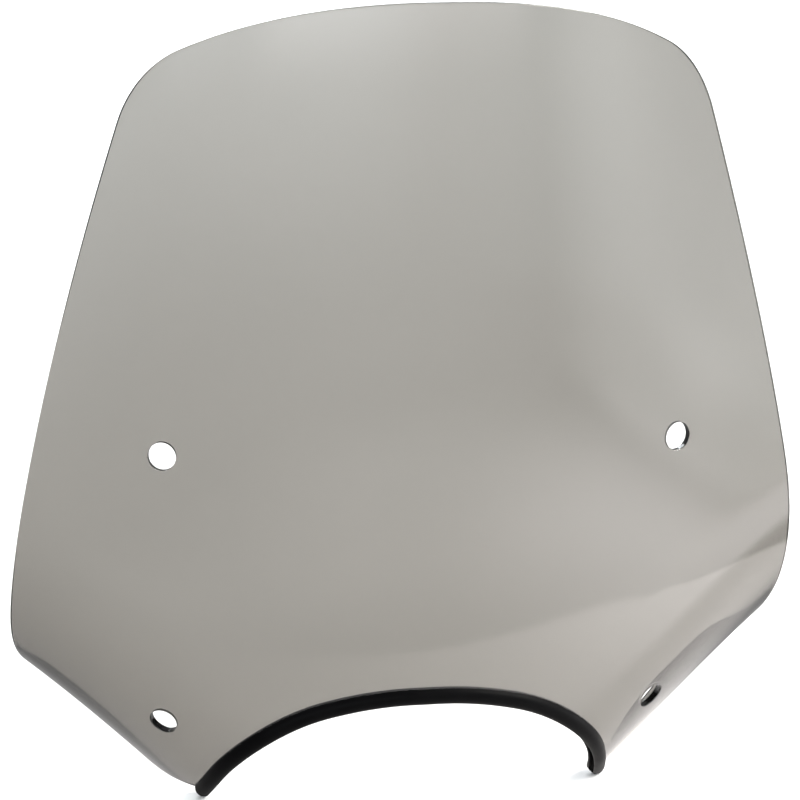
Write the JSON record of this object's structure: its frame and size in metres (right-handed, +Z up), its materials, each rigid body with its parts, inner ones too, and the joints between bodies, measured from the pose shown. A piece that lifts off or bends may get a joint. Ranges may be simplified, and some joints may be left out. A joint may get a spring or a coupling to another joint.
{
  "type": "motorcycle windshield screen",
  "caption": "Curved smoked acrylic screen for a motorcycle windshield, with rolled lower corners, mounting holes and a rubber-trimmed headlight cut-out.",
  "frame": {"origin": "top centre of the headlight cut-out, halfway through the sheet", "axes": "+Z up along the screen's upright centre line, +Y towards the rider (the hollow side), +X across, X = 0 is the plane of symmetry"},
  "size_m": [0.5432, 0.154, 0.5694],
  "materials": {
    "smoked_acrylic": "polished, transparent, light grey smoke tint",
    "black_rubber": "satin black extruded rubber",
    "adhesive": "matt black butyl adhesive"
  },
  "bodies": {
    "root": {"screen": "smoked_acrylic", "edge_trim": "black_rubber", "trim_bond": "adhesive"}
  },
  "joints": []
}
